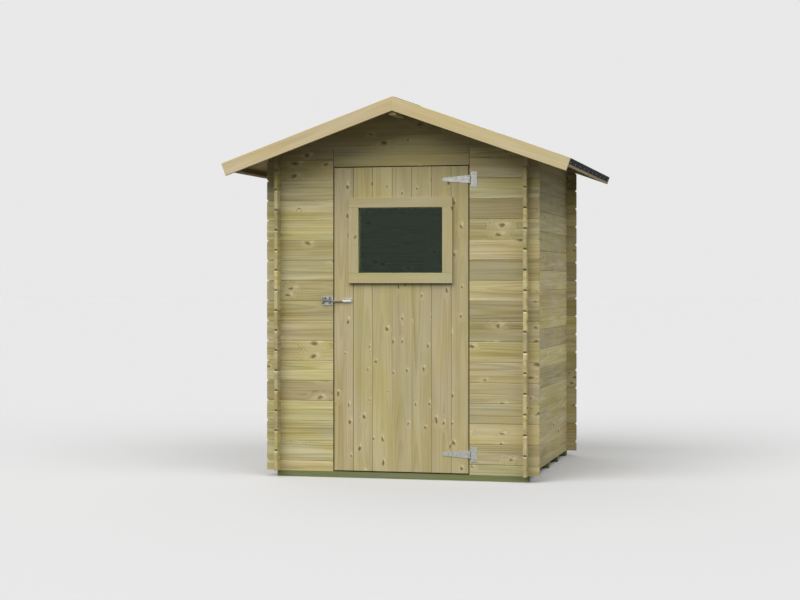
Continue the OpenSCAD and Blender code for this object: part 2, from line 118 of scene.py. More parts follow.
def lay_grain(obj, seed, axes=None, pith_mm=(22, 75)):
    """Gives each board of a piece its own grain, as if sawn from its own tree.

    The axes run along, across and through the wood. Without them, they follow the board's longest,
    middle and shortest side. The pith of the tree lies pith_mm behind or before the board.
    """
    rng = random.Random(seed)
    most_shift = 40
    most_aside = 0.03
    mesh = obj.data
    points = np.empty(len(mesh.vertices) * 3)
    mesh.vertices.foreach_get("co", points)
    points = points.reshape(-1, 3)
    board = separate_boards(mesh, points)
    grain, pith, axis, broad = (np.zeros_like(points) for _ in range(4))
    for number in sorted(set(board), key=lambda b: tuple(np.round(points[board == b].mean(0), 4))):
        mine = board == number
        low, high = points[mine].min(0), points[mine].max(0)
        turn = np.eye(3)[np.argsort(low - high)] if axes is None else np.array(axes)
        shift = (rng.uniform(-most_shift, most_shift), 0, 0)
        grain[mine] = (points[mine] - (low + high) / 2) @ turn.T + shift
        depth = rng.choice((-1, 1)) * rng.uniform(*pith_mm) / 1000
        pith[mine] = (rng.uniform(-most_aside, most_aside), depth, rng.random())
        axis[mine] = turn[0]
        broad[mine] = turn[2]
    for name, values in (("grain", grain), ("pith", pith), ("axis", axis), ("broad", broad)):
        layer = mesh.attributes.new(name, "FLOAT_VECTOR", "POINT")
        layer.data.foreach_set("vector", values.ravel())


def per_metre(along_mm, across_mm):
    """The scale of a pattern in wood, from its size along and across the grain."""
    return (1000 / along_mm, 1000 / across_mm, 1000 / across_mm)


def softwood(name, pale, dark, stain, knot, knot_share=0.36, knot_mm=(4.5, 12.5), stretch_mm=(230, 100),
             gleam=0.0, ring_mm=7.0, contrast=1.0, blotch=0.5, rough=0.66, spread=0.1, groove=0.0):
    """Growth rings round a pith, fibres, stained patches, and knots that the rings flow round.

    Each stretch of the wood has one knot at most, and knot_share says how many have it. gleam is how pale the
    wood beside a knot is drawn, partly paler wood and partly painted highlight, blotch how unevenly the
    treatment took, spread how far one board differs from the next, and groove how dark the bevels of the
    seams are.
    """
    material, tree = blank(name)
    grain = add(tree, "ShaderNodeAttribute", attribute_name="grain")["Vector"]
    apart = add(tree, "ShaderNodeSeparateXYZ", {0: grain})
    pith = add(tree, "ShaderNodeAttribute", attribute_name="pith")["Vector"]
    pith_across, pith_through, chance = add(tree, "ShaderNodeSeparateXYZ", {0: pith})

    # Where the knots are: the way to the nearest one, made uneven so that none is a plain oval.
    stretch = (stretch_mm[0] / 1000, stretch_mm[1] / 1000, 0)
    most_uneven = (0.05, 0.022, 0)
    no_knot = 0.0003
    cell = add(tree, "ShaderNodeVectorMath", {0: grain, 1: (1 / stretch[0], 1 / stretch[1], 0)},
               operation="MULTIPLY")[0]
    spots = add(tree, "ShaderNodeTexVoronoi", {"Vector": cell, "Scale": 1.0, "Randomness": 0.8},
                voronoi_dimensions="2D")
    away = add(tree, "ShaderNodeVectorMath", {0: cell, 1: spots["Position"]}, operation="SUBTRACT")[0]
    away = add(tree, "ShaderNodeVectorMath", {0: away, 1: stretch}, operation="MULTIPLY")[0]
    uneven = add(tree, "ShaderNodeVectorMath", {0: grain, 1: per_metre(45, 22)}, operation="MULTIPLY")[0]
    uneven = add(tree, "ShaderNodeTexNoise", {"Vector": uneven, "Scale": 1.0, "Detail": 2.0})["Color"]
    uneven = add(tree, "ShaderNodeVectorMath", {0: uneven, 1: (0.5, 0.5, 0.5)}, operation="SUBTRACT")[0]
    uneven = add(tree, "ShaderNodeVectorMath", {0: uneven, 1: most_uneven}, operation="MULTIPLY")[0]
    away = add(tree, "ShaderNodeVectorMath", {0: away, 1: uneven}, operation="ADD")[0]
    draw = add(tree, "ShaderNodeSeparateColor", {0: spots["Color"]})["Red"]
    grown = add(tree, "ShaderNodeMath", {0: draw, 1: 1 - knot_share}, operation="GREATER_THAN")[0]
    radius = add(tree, "ShaderNodeMapRange", {
        0: draw, 1: 1 - knot_share, 2: 1.0, 3: knot_mm[0] / 1000, 4: knot_mm[1] / 1000})[0]
    radius = add(tree, "ShaderNodeMath", {0: radius, 1: grown}, operation="MULTIPLY")[0]
    radius = add(tree, "ShaderNodeMath", {0: radius, 1: no_knot}, operation="MAXIMUM")[0]

    # The dark heart of a knot, the eye of spread rings round it, and the pale wood on one side, made paler
    # still as a painted highlight.
    # Sizes here are shares of the knot's radius.
    heart_oval = (0.62, 1, 0)
    eye_oval = (0.5, 1, 0)
    pale_side = (1.3, 0.9, 0)
    ring_push = 2.6
    oval = add(tree, "ShaderNodeVectorMath", {0: away, 1: heart_oval}, operation="MULTIPLY")[0]
    heart = add(tree, "ShaderNodeVectorMath", {0: oval}, operation="LENGTH")["Value"]
    heart = add(tree, "ShaderNodeMath", {0: heart, 1: radius}, operation="DIVIDE")[0]
    heart = add(tree, "ShaderNodeMapRange", {0: heart, 1: 0.25, 2: 1.25, 3: 0.9, 4: 0.0},
                interpolation_type="SMOOTHSTEP")[0]
    eye = add(tree, "ShaderNodeVectorMath", {0: away, 1: eye_oval}, operation="MULTIPLY")[0]
    eye = add(tree, "ShaderNodeVectorMath", {0: eye}, operation="LENGTH")["Value"]
    eye = add(tree, "ShaderNodeMath", {0: eye, 1: radius}, operation="DIVIDE")[0]
    eye = add(tree, "ShaderNodeMapRange", {0: eye, 1: 0.5, 2: 3.8, 3: 1.0, 4: 0.0},
              interpolation_type="SMOOTHSTEP")[0]
    lean = add(tree, "ShaderNodeVectorMath", {0: pale_side, "Scale": radius}, operation="SCALE")[0]
    beside = add(tree, "ShaderNodeVectorMath", {0: oval, 1: lean}, operation="SUBTRACT")[0]
    beside = add(tree, "ShaderNodeVectorMath", {0: beside}, operation="LENGTH")["Value"]
    beside = add(tree, "ShaderNodeMath", {0: beside, 1: radius}, operation="DIVIDE")[0]
    beside = add(tree, "ShaderNodeMapRange", {0: beside, 1: 0.2, 2: 1.3, 3: gleam, 4: 0.0},
                 interpolation_type="SMOOTHSTEP")[0]
    push = add(tree, "ShaderNodeMath", {0: eye, 1: radius}, operation="MULTIPLY")[0]
    push = add(tree, "ShaderNodeMath", {0: push, 1: ring_push}, operation="MULTIPLY")[0]

    # Growth rings: the distance from a pith that wanders along the piece. Pine rings are 2 to 5 mm
    # wide and are drawn at 7 mm or so, so that they show.
    most_wander = 0.035
    most_wave = 0.008
    wander = add(tree, "ShaderNodeVectorMath", {0: grain, 1: (1000 / 2000, 0, 0)}, operation="MULTIPLY")[0]
    wander = add(tree, "ShaderNodeTexNoise", {"Vector": wander, "Scale": 1.0, "Detail": 0.0})["Fac"]
    wander = add(tree, "ShaderNodeMapRange", {0: wander, 3: -most_wander, 4: most_wander})[0]
    off_across = add(tree, "ShaderNodeMath", {0: apart["Y"], 1: pith_across}, operation="SUBTRACT")[0]
    off_through = add(tree, "ShaderNodeMath", {0: apart["Z"], 1: pith_through}, operation="SUBTRACT")[0]
    off_through = add(tree, "ShaderNodeMath", {0: off_through, 1: wander}, operation="ADD")[0]
    offset = add(tree, "ShaderNodeCombineXYZ", {1: off_across, 2: off_through})[0]
    ring = add(tree, "ShaderNodeVectorMath", {0: offset}, operation="LENGTH")["Value"]
    waves = add(tree, "ShaderNodeVectorMath", {0: grain, 1: per_metre(900, 110)}, operation="MULTIPLY")[0]
    waves = add(tree, "ShaderNodeTexNoise", {"Vector": waves, "Scale": 1.0, "Detail": 1.5})["Fac"]
    waves = add(tree, "ShaderNodeMapRange", {0: waves, 3: -most_wave, 4: most_wave})[0]
    ring = add(tree, "ShaderNodeMath", {0: ring, 1: waves}, operation="ADD")[0]
    ring = add(tree, "ShaderNodeMath", {0: ring, 1: push}, operation="ADD")[0]
    ring = add(tree, "ShaderNodeMath", {0: ring, 1: 1000 / ring_mm}, operation="MULTIPLY")[0]
    part = add(tree, "ShaderNodeMath", {0: ring}, operation="FRACT")[0]
    whole = add(tree, "ShaderNodeMath", {0: ring}, operation="FLOOR")[0]
    late = add(tree, "ShaderNodeMapRange", {0: part, 1: 0.3, 2: 0.9}, interpolation_type="SMOOTHSTEP")[0]
    winter = add(tree, "ShaderNodeMapRange", {0: part, 1: 0.9, 2: 1.0, 3: 1.0, 4: 0.0},
                 interpolation_type="SMOOTHSTEP")[0]
    late = add(tree, "ShaderNodeMath", {0: late, 1: winter}, operation="MULTIPLY")[0]
    year_number = add(tree, "ShaderNodeMath", {0: chance, 1: 91.0, 2: whole}, operation="MULTIPLY_ADD")[0]
    year = add(tree, "ShaderNodeTexWhiteNoise", {"W": year_number}, noise_dimensions="1D")["Value"]
    year = add(tree, "ShaderNodeMapRange", {0: year, 3: 0.2, 4: 1.0})[0]
    line = add(tree, "ShaderNodeMath", {0: late, 1: year}, operation="MULTIPLY")[0]

    # Fibres, streaks and patches, all drawn out along the grain. Real fibres are far finer than
    # 4 mm and are drawn so wide that they show.
    fibre = add(tree, "ShaderNodeVectorMath", {0: grain, 1: per_metre(250, 4)}, operation="MULTIPLY")[0]
    fibre = add(tree, "ShaderNodeTexNoise", {"Vector": fibre, "Scale": 1.0, "Detail": 3.0})["Fac"]
    streak = add(tree, "ShaderNodeVectorMath", {0: grain, 1: per_metre(800, 40)}, operation="MULTIPLY")[0]
    streak = add(tree, "ShaderNodeTexNoise", {"Vector": streak, "Scale": 1.0, "Detail": 2.0})["Fac"]
    patch = add(tree, "ShaderNodeVectorMath", {0: grain, 1: per_metre(450, 140)}, operation="MULTIPLY")[0]
    patch = add(tree, "ShaderNodeTexNoise", {"Vector": patch, "Scale": 1.0, "Detail": 2.0})["Fac"]
    strong = add(tree, "ShaderNodeMapRange", {0: eye, 3: 0.45 * contrast, 4: 0.9 * contrast})[0]
    shade = add(tree, "ShaderNodeMath", {0: line, 1: strong}, operation="MULTIPLY")[0]
    fibres = add(tree, "ShaderNodeMapRange", {0: fibre, 1: 0.3, 2: 0.75, 3: 0.0, 4: 0.35 * contrast})[0]
    streaks = add(tree, "ShaderNodeMapRange", {0: streak, 1: 0.4, 2: 0.75, 3: 0.0, 4: 0.5 * contrast})[0]
    shade = add(tree, "ShaderNodeMath", {0: shade, 1: fibres}, operation="ADD")[0]
    shade = add(tree, "ShaderNodeMath", {0: shade, 1: streaks}, operation="ADD", use_clamp=True)[0]
    colour = add(tree, "ShaderNodeMix", {0: shade, 6: linear(pale), 7: linear(dark)}, data_type="RGBA")[2]
    stained = add(tree, "ShaderNodeMapRange", {0: patch, 1: 0.42, 2: 0.72, 3: 0.0, 4: 0.6})[0]
    colour = add(tree, "ShaderNodeMix", {0: stained, 6: colour, 7: linear(stain)}, data_type="RGBA")[2]

    # Each board has its own tone, and blotches where the treatment took more or less: from olive
    # ochre to a pinkish grey.
    other = add(tree, "ShaderNodeMath", {0: chance, 1: 7.31}, operation="MULTIPLY")[0]
    other = add(tree, "ShaderNodeMath", {0: other}, operation="FRACT")[0]
    hue = add(tree, "ShaderNodeMapRange", {0: other, 3: 0.493, 4: 0.508})[0]
    value = add(tree, "ShaderNodeMapRange", {0: chance, 3: 1 - 1.2 * spread, 4: 1 + 0.8 * spread})[0]
    took = add(tree, "ShaderNodeVectorMath", {0: grain, 1: per_metre(380, 110)}, operation="MULTIPLY")[0]
    took = add(tree, "ShaderNodeTexNoise", {"Vector": took, "Scale": 1.0, "Detail": 1.0})["Color"]
    took = add(tree, "ShaderNodeSeparateColor", {0: took})
    warm = add(tree, "ShaderNodeMapRange", {
        0: took["Red"], 1: 0.3, 2: 0.7, 3: -0.006 * blotch, 4: 0.006 * blotch})[0]
    hue = add(tree, "ShaderNodeMath", {0: hue, 1: warm}, operation="ADD")[0]
    full = add(tree, "ShaderNodeMapRange", {
        0: took["Green"], 1: 0.3, 2: 0.7, 3: 1 - 0.2 * blotch, 4: 1 + 0.2 * blotch})[0]
    colour = add(tree, "ShaderNodeHueSaturation", {
        "Hue": hue, "Saturation": full, "Value": value, "Color": colour})[0]
    clear = add(tree, "ShaderNodeMath", {0: eye, 1: 0.4}, operation="MULTIPLY")[0]
    colour = add(tree, "ShaderNodeMix", {0: clear, 6: colour, 7: linear(pale)}, data_type="RGBA")[2]
    # Beside each knot the colour goes pale, partly as paler wood and partly as painted highlight.
    colour = add(tree, "ShaderNodeMix", {0: beside, 6: colour, 7: linear("#DDD3AE")}, data_type="RGBA")[2]
    colour = add(tree, "ShaderNodeMix", {0: heart, 6: colour, 7: linear(knot)}, data_type="RGBA")[2]

    # Sawn ends take the stain deeper than the faces.
    axis = add(tree, "ShaderNodeAttribute", attribute_name="axis")["Vector"]
    normal = add(tree, "ShaderNodeNewGeometry")["Normal"]
    normal = add(tree, "ShaderNodeVectorTransform", {0: normal}, vector_type="NORMAL", convert_from="WORLD",
                 convert_to="OBJECT")[0]
    end = add(tree, "ShaderNodeVectorMath", {0: normal, 1: axis}, operation="DOT_PRODUCT")["Value"]
    end = add(tree, "ShaderNodeMath", {0: end}, operation="ABSOLUTE")[0]
    sawn = add(tree, "ShaderNodeMapRange", {0: end, 1: 0.6, 2: 0.95, 3: 0.0, 4: 0.2})[0]
    colour = add(tree, "ShaderNodeMix", {0: sawn, 6: colour, 7: linear(dark)}, data_type="RGBA")[2]

    # The bevels of the seams, which face neither out nor along the wood, are drawn darker by groove.
    broad = add(tree, "ShaderNodeAttribute", attribute_name="broad")["Vector"]
    face = add(tree, "ShaderNodeVectorMath", {0: normal, 1: broad}, operation="DOT_PRODUCT")["Value"]
    face = add(tree, "ShaderNodeMath", {0: face}, operation="ABSOLUTE")[0]
    slant = add(tree, "ShaderNodeMapRange", {0: face, 1: 0.1, 2: 0.4})[0]
    either = add(tree, "ShaderNodeMath", {0: face, 1: end}, operation="ADD")[0]
    darker_bevel = add(tree, "ShaderNodeMapRange", {0: either, 1: 0.75, 2: 0.97, 3: groove, 4: 0.0})[0]
    darker_bevel = add(tree, "ShaderNodeMath", {0: darker_bevel, 1: slant}, operation="MULTIPLY")[0]
    colour = add(tree, "ShaderNodeMix", {0: darker_bevel, 6: colour, 7: linear("#4A4226")}, data_type="RGBA")[2]

    height = add(tree, "ShaderNodeMath", {0: fibre, 1: 0.6, 2: line}, operation="MULTIPLY_ADD")[0]
    bump = add(tree, "ShaderNodeBump", {"Strength": 0.4, "Distance": 0.0004, "Height": height})[0]
    shine = add(tree, "ShaderNodeMapRange", {0: fibre, 3: rough - 0.06, 4: rough + 0.08})[0]
    surface = add(tree, "ShaderNodeBsdfPrincipled", {
        "Base Color": colour, "Roughness": shine, "Specular IOR Level": 0.3, "Normal": bump})[0]
    add(tree, "ShaderNodeOutputMaterial", {"Surface": surface})
    return material


# Planed, treated pine is matt and pale olive, with soft rings, brown knots and uneven blotches.
log_pine = softwood("Pine, planed and pressure-treated", "#CABE90", "#978A5A", "#AEA575", "#665832",
                    knot_share=0.5, knot_mm=(5.5, 15.0), gleam=0.3, contrast=1.3, blotch=0.7, spread=0.25)
log_seeds = {"front_logs_left": 21550, "front_logs_right": 24716, "left_logs": 102, "right_logs": 103,
             "back_logs": 104}
for name, seed in log_seeds.items():
    lay_grain(nodes[name], seed)
    paint(nodes[name], log_pine)


# Gable panels: one wide pine panel over the logs of each end wall, planed and treated like
# them and slotted for the ridge purlin. The front one reaches down to the head of the door.

# A wide panel shows broad rings and more knots, and has taken the treatment in blotches. Its colours are set
# darker than the logs' as painted shade, for the shade that the roof casts over the gables.
gable_pine_painted_shade = softwood("Pine, planed and pressure-treated, wide panel", "#B3A87C", "#857A4E", "#979066",
                      "#5E4828", knot_share=0.6, gleam=0.2, ring_mm=9.0, blotch=0.8, spread=0.02)
for name, seed in (("front_gable", 120), ("back_gable", 121)):
    lay_grain(nodes[name], seed, pith_mm=(120, 180))
    paint(nodes[name], gable_pine_painted_shade)


# Bearers: rough-sawn softwood under the walls and the floor, pressure-treated against
# the damp of the ground. The walls stand on them.

# The saw leaves it dull, and the copper in the treatment turns it a mossy green.
bearer_pine = softwood("Softwood, rough-sawn, green pressure-treated", "#777D51", "#4D5534", "#666D42",
                       "#3A3424", ring_mm=8.0, rough=0.85)
bearers = ("bearer_front", "bearer_second", "bearer_middle", "bearer_fourth", "bearer_back")
for seed, name in enumerate(bearers, 140):
    lay_grain(nodes[name], seed)
    paint(nodes[name], bearer_pine)


# Floor: planed boards from front to back across the bearers, with a narrow joint between
# them. Two nails hold each board on every bearer between the walls.

def put_in_scene(name, data):
    """An object of the scene from a mesh, a lamp or a camera."""
    obj = bpy.data.objects.new(name, data)
    bpy.context.scene.collection.objects.link(obj)
    return obj


def saw_boards(name, boards):
    """One mesh of boards, each given as the corners of its one end and of its other end."""
    bm = bmesh.new()
    for near, far in boards:
        near = [bm.verts.new(corner) for corner in near]
        far = [bm.verts.new(corner) for corner in far]
        bm.faces.new(near)
        bm.faces.new(far)
        for i in range(len(near)):
            j = (i + 1) % len(near)
            bm.faces.new((near[i], near[j], far[j], far[i]))
    bmesh.ops.recalc_face_normals(bm, faces=bm.faces)
    mesh = bpy.data.meshes.new(name)
    bm.to_mesh(mesh)
    bm.free()
    return put_in_scene(name, mesh)


# Planed pine without treatment is paler and warmer than the logs.
plain_pine = softwood("Pine, planed", "#CDB98C", "#A88C58", "#B7A476", "#6A4A28", spread=0.08)
floor_count = 13
floor_joint = 0.0016
floor_edge = 0.0015
low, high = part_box("floor_boards")
floor_step = (high.x - low.x) / floor_count
boards = []
for i in range(floor_count):
    a = low.x + i * floor_step + floor_joint / 2
    b = low.x + (i + 1) * floor_step - floor_joint / 2
    section = [(a, low.z), (b, low.z), (b, high.z - floor_edge), (b - floor_edge, high.z),
               (a + floor_edge, high.z), (a, high.z - floor_edge)]
    boards.append(([(x, low.y, z) for x, z in section], [(x, high.y, z) for x, z in section]))
floor_boards = saw_boards("floor_boards_planed", boards)
lay_grain(floor_boards, 160)
paint(floor_boards, plain_pine)
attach(floor_boards, "shed")
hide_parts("floor_boards")

# Zinc plating is bright grey and half dull, faintly mottled where the zinc has crystallised.
zinc, tree = blank("Steel, pressed and zinc-plated")
place = add(tree, "ShaderNodeTexCoord")["Object"]
spangle = add(tree, "ShaderNodeTexVoronoi", {"Vector": place, "Scale": 1000 / 7})
tone = add(tree, "ShaderNodeSeparateColor", {0: spangle["Color"]})["Red"]
cloud = add(tree, "ShaderNodeTexNoise", {"Vector": place, "Scale": 1000 / 25, "Detail": 3.0})["Fac"]
colour = add(tree, "ShaderNodeMix", {0: tone, 6: linear("#999B97"), 7: linear("#B7B7B0")},
             data_type="RGBA")[2]
dull = add(tree, "ShaderNodeMapRange", {0: cloud, 1: 0.45, 2: 0.75, 3: 0.0, 4: 0.5})[0]
colour = add(tree, "ShaderNodeMix", {0: dull, 6: colour, 7: linear("#8F918A")}, data_type="RGBA")[2]
shine = add(tree, "ShaderNodeMapRange", {0: cloud, 3: 0.34, 4: 0.58})[0]
surface = add(tree, "ShaderNodeBsdfPrincipled", {
    "Base Color": colour, "Metallic": 1.0, "Roughness": shine})[0]
add(tree, "ShaderNodeOutputMaterial", {"Surface": surface})


def drive_heads(name, spots, radius, rise, body, cross=False):
    """Round heads of nails, or of screws with a cross, each at a point and facing along a direction."""
    rings, steps = (7, 28) if cross else (3, 12)
    cross_wide, cross_long, cross_deep = 0.14, 0.6, 0.6
    dome = 0.8
    rim_sunk = 0.0002
    turn_to_next = 0.9
    verts, faces = [], []
    for number, (point, facing) in enumerate(spots):
        facing = Vector(facing).normalized()
        side = Matrix.Rotation(number * turn_to_next, 3, facing) @ facing.orthogonal().normalized()
        other = facing.cross(side)
        base = len(verts)
        verts.append(Vector(point) + facing * rise * (1 - cross_deep if cross else 1))
        for r in range(1, rings + 1):
            for s in range(steps):
                turn = 2 * math.pi * s / steps
                x, y = math.cos(turn) * r / rings, math.sin(turn) * r / rings
                high = rise * math.sqrt(max(0.0, 1 - dome * (x * x + y * y)))
                if cross and min(abs(x), abs(y)) < cross_wide and max(abs(x), abs(y)) < cross_long:
                    high -= cross_deep * rise
                if r == rings:
                    high = -rim_sunk
                verts.append(Vector(point) + (side * x + other * y) * radius + facing * high)
        for s in range(steps):
            a, b = base + 1 + s, base + 1 + (s + 1) % steps
            faces.append((base, a, b))
            for r in range(1, rings):
                faces.append((a, a + steps, b + steps, b))
                a, b = a + steps, b + steps
    mesh = bpy.data.meshes.new(name)
    mesh.from_pydata(verts, [], faces)
    for face in mesh.polygons:
        face.use_smooth = not cross
    obj = put_in_scene(name, mesh)
    paint(obj, zinc)
    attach(obj, body)


spots = []
for name in ("bearer_second", "bearer_middle", "bearer_fourth"):
    under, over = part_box(name)
    y = (under.y + over.y) / 2
    for i in range(floor_count):
        spots += [((low.x + (i + share) * floor_step, y, high.z), (0, 0, 1)) for share in (0.25, 0.75)]
drive_heads("floor_nails", spots, radius=0.003, rise=0.0004, body="shed")


# Door frame, purlin and battens: planed square timbers. Posts and head rail hold the log
# ends from the inside, the purlin carries the ridge, the battens stiffen the eaves.

def ease_edges(obj, width, segments=2):
    """Takes the sharpness off a piece's edges, as a plane or a file does."""
    weld = obj.modifiers.new("joined faces", "WELD")
    weld.merge_threshold = 0.00001
    bevel = obj.modifiers.new("eased edges", "BEVEL")
    bevel.width = width
    bevel.segments = segments
    bevel.limit_method = "ANGLE"
    bevel.angle_limit = math.radians(30)


timber_edge = 0.0015
# Planed and treated framing is a little darker and warmer than the logs, with dark knots.
frame_pine = softwood("Pine, planed and pressure-treated, framing", "#BDAE80", "#917F50", "#A5986A",
                      "#4E3C22")
framing = ("door_post_left", "door_post_right", "door_head_rail", "ridge_purlin", "eaves_batten_left",
           "eaves_batten_right")
for seed, name in enumerate(framing, 180):
    lay_grain(nodes[name], seed)
    paint(nodes[name], frame_pine)
    ease_edges(nodes[name], timber_edge)


# Roof boards: planed boards about 95 mm wide from the ridge to the eaves, nailed to the
# purlin and the side walls. Their bevelled edges show from below as narrow V-joints.
pitch = math.radians(19.7)
deck_thick = 0.016
deck_count = 19
deck_joint = 0.0008
deck_edge = 0.0025
ridge_joint = 0.0003


def slope(side):
    """The directions down a roof slope and square to it: the left one for -1, the right one for 1."""
    down = Vector((side * math.cos(pitch), 0, -math.sin(pitch)))
    up = Vector((side * math.sin(pitch), 0, math.cos(pitch)))
    return down, up


for side, name, seed in ((-1, "roof_deck_left", 200), (1, "roof_deck_right", 201)):
    low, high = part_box(name)
    down, up = slope(side)
    ridge = Vector((0, 0, high.z - deck_thick / math.cos(pitch)))
    reach = (max(abs(low.x), abs(high.x)) - deck_thick * math.sin(pitch)) / math.cos(pitch)
    step = (high.y - low.y) / deck_count
    boards = []
    for i in range(deck_count):
        a = low.y + i * step + deck_joint / 2
        b = low.y + (i + 1) * step - deck_joint / 2
        section = [(a + deck_edge, 0), (b - deck_edge, 0), (b, deck_edge), (b, deck_thick), (a, deck_thick),
                   (a, deck_edge)]
        top = [ridge + down * (ridge_joint - rise * math.tan(pitch)) + up * rise + Vector((0, y, 0))
               for y, rise in section]
        foot = [ridge + down * reach + up * rise + Vector((0, y, 0)) for y, rise in section]
        boards.append((top, foot))
    deck = saw_boards(name + "_boards", boards)
    lay_grain(deck, seed, (down, (0, 1, 0), up))
    paint(deck, plain_pine)
    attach(deck, "shed")
    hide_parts(name)


# Roofing felt: bitumen sheet with dark slate grit, one width on each slope folded over the
# eaves and one strip over the ridge on top of both. Broad-headed nails hold its edges.

# Grit pressed into bitumen has no shine and is speckled, nearly black, greyer where rain has washed
# it. The grit is about 1 mm and is drawn at 2.5 mm so that it shows.
felt, tree = blank("Bitumen felt, slate grit pressed in")
place = add(tree, "ShaderNodeTexCoord")["Object"]
grit = add(tree, "ShaderNodeTexVoronoi", {"Vector": place, "Scale": 1000 / 2.5})
tone = add(tree, "ShaderNodeSeparateColor", {0: grit["Color"]})["Red"]
cloud = add(tree, "ShaderNodeTexNoise", {"Vector": place, "Scale": 1000 / 350, "Detail": 4.0})["Fac"]
colour = add(tree, "ShaderNodeMix", {0: tone, 6: linear("#1F2424"), 7: linear("#3C4140")},
             data_type="RGBA")[2]
washed = add(tree, "ShaderNodeMapRange", {0: cloud, 1: 0.4, 2: 0.7, 3: 0.0, 4: 0.5})[0]
colour = add(tree, "ShaderNodeMix", {0: washed, 6: colour, 7: linear("#3C423E")}, data_type="RGBA")[2]
bump = add(tree, "ShaderNodeBump", {"Strength": 0.6, "Distance": 0.001, "Height": grit["Distance"]})[0]
surface = add(tree, "ShaderNodeBsdfPrincipled", {
    "Base Color": colour, "Roughness": 0.92, "Specular IOR Level": 0.1, "Normal": bump})[0]
add(tree, "ShaderNodeOutputMaterial", {"Surface": surface})

felt_thick = 0.0026
felt_top = 0.0192
felt_fold = 0.032
fold_round = 0.005
fold_steps = 6
felt_start = 0.06
waves_grow = 0.1
waves_fade = 0.06
felt_lift = 0.0014
strip_half = 0.15
strip_row = 0.135
strip_inset = 0.06
fold_row = -0.004
fold_inset = 0.05
edge_inset = 0.018
edge_start = 0.2
crown_drop = 0.0012


def felt_sheet(name, profile, front, back, waves, outward):
    """A strip of felt along the roof from its upper profile, lifted a little where it lies in waves."""
    rows = 91
    wave_wide = 0.2
    wave_long = 0.25
    verts, faces = [], []
    for j in range(rows):
        y = front + (back - front) * j / (rows - 1)
        for point, wave in zip(profile, waves):
            lift = wave * (0.5 + 0.5 * noise.noise(Vector((point.x / wave_wide, y / wave_long, 3.0))))
            verts.append((point.x, y, point.z + lift))
    count = len(profile)
    for j in range(rows - 1):
        for i in range(count - 1):
            a = j * count + i
            b = a + count
            faces.append((a, a + 1, b + 1, b) if outward else (b, b + 1, a + 1, a))
    mesh = bpy.data.meshes.new(name)
    mesh.from_pydata(verts, [], faces)
    for face in mesh.polygons:
        face.use_smooth = True
    obj = put_in_scene(name, mesh)
    sheet = obj.modifiers.new("sheet", "SOLIDIFY")
    sheet.thickness = felt_thick
    sheet.offset = -1
    paint(obj, felt)
    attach(obj, "shed")
    return obj


def evenly(start, stop, count):
    """Places at even steps from the start to the stop."""
    return [start + (stop - start) * i / (count - 1) for i in range(count)]


spots = []
for side, name in ((-1, "roof_felt_left"), (1, "roof_felt_right")):
    low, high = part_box(name)
    down, up = slope(side)
    ridge = Vector((0, 0, high.z - felt_top / math.cos(pitch)))
    reach = (max(abs(low.x), abs(high.x)) - felt_top * math.sin(pitch)) / math.cos(pitch)
    profile, waves = [], []
    for run in evenly(felt_start, reach - fold_round, 41):
        profile.append(ridge + down * run + up * felt_top)
        from_strip = min(1.0, max(0.0, (run - strip_half) / waves_grow))
        from_eaves = min(1.0, (reach - run) / waves_fade)
        waves.append(felt_lift * from_strip * from_eaves)
    for i in range(1, fold_steps):
        turn = math.radians(90 * i / fold_steps)
        out = reach - fold_round + fold_round * math.sin(turn)
        profile.append(ridge + down * out + up * (felt_top - fold_round + fold_round * math.cos(turn)))
    for rise in evenly(felt_top - fold_round, felt_top - felt_fold, 5):
        profile.append(ridge + down * reach + up * rise)
    waves += [0] * (len(profile) - len(waves))
    sheet = felt_sheet(name + "_sheet", profile, low.y, high.y, waves, side > 0)
    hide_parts(name)
    # Nails along the fold at the eaves, along the ridge strip and along the front and back edges.
    for y in evenly(low.y + fold_inset, high.y - fold_inset, 10):
        spots.append((ridge + down * reach + up * fold_row + Vector((0, y, 0)), down))
    for y in evenly(low.y + strip_inset, high.y - strip_inset, 12):
        spots.append((ridge + down * strip_row + up * (felt_top + felt_thick) + Vector((0, y, 0)), up))
    for run in evenly(edge_start, reach - fold_inset, 8):
        for y in (low.y + edge_inset, high.y - edge_inset):
            spots.append((ridge + down * run + up * (felt_top + felt_lift / 2) + Vector((0, y, 0)), up))

strip_top = felt_top + felt_thick
strip_points = (strip_half, 0.11, 0.07, 0.04, 0.02, 0.012, 0.006)
strip_halves = []
for side in (-1, 1):
    down, up = slope(side)
    strip_halves.append([ridge + down * run + up * strip_top for run in strip_points])
crown = ridge + Vector((0, 0, strip_top / math.cos(pitch) - crown_drop))
profile = strip_halves[0] + [crown] + strip_halves[1][::-1]
felt_sheet("roof_felt_ridge_strip", profile, low.y, high.y, [0] * len(profile), True)
drive_heads("roof_felt_nails", spots, radius=0.004, rise=0.0012, body="shed")


# Barge boards: planed boards nailed over the ends of the roof boards, cut plumb at the
# ridge and square at the eaves. The back ones are narrower than the front ones.

# Planed pine picked almost free of knots is even, and a little paler and warmer than the logs.
barge_pine = softwood("Pine, planed and pressure-treated, barge boards", "#C9B98F", "#A8956A", "#BAAB82",
                      "#6A5230", knot_share=0.08, contrast=0.7, spread=0.04)
first_nail = 0.06
last_nail = 0.96
spots = []
barges = ("front_barge_left", "front_barge_right", "back_barge_left", "back_barge_right")
for seed, name in enumerate(barges, 220):
    side = -1 if name.endswith("left") else 1
    at_front = name.startswith("front")
    down, up = slope(side)
    lay_grain(nodes[name], seed, (down, up, (0, 1, 0)))
    paint(nodes[name], barge_pine)
    ease_edges(nodes[name], timber_edge)
    low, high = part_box(name)
    ridge = Vector((0, low.y if at_front else high.y, high.z - felt_top / math.cos(pitch)))
    upper_row = 0.006
    lower_row = -0.036 if at_front else -0.014
    for run in evenly(first_nail, last_nail, 5):
        for rise in (upper_row, lower_row):
            spots.append((ridge + down * run + up * rise, (0, -1 if at_front else 1, 0)))
drive_heads("barge_nails", spots, radius=0.0022, rise=0.0004, body="shed")
